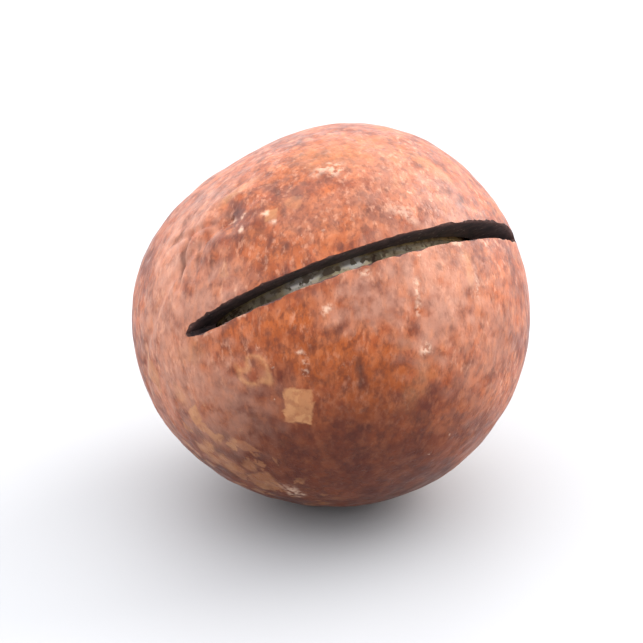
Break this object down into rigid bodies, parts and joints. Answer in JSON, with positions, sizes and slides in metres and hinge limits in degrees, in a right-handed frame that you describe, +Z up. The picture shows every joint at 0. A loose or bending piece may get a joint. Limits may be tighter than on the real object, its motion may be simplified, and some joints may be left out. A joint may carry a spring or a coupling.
{
  "type": "macadamia nut in shell",
  "caption": "Nearly round hard-shelled nut with a sawn opening slot across its front and a loose kernel inside; it rests on a small flat spot.",
  "frame": {"origin": "centre of the nut's box, on the surface that it rests on", "axes": "+Z up from the flat spot, -Y towards the front that the slot crosses, +X to the right of that front"},
  "size_m": [0.025, 0.025, 0.0241],
  "materials": {
    "shell": "satin",
    "kernel": "satin"
  },
  "bodies": {
    "root": {"shell": "shell", "kernel": "kernel"}
  },
  "joints": []
}
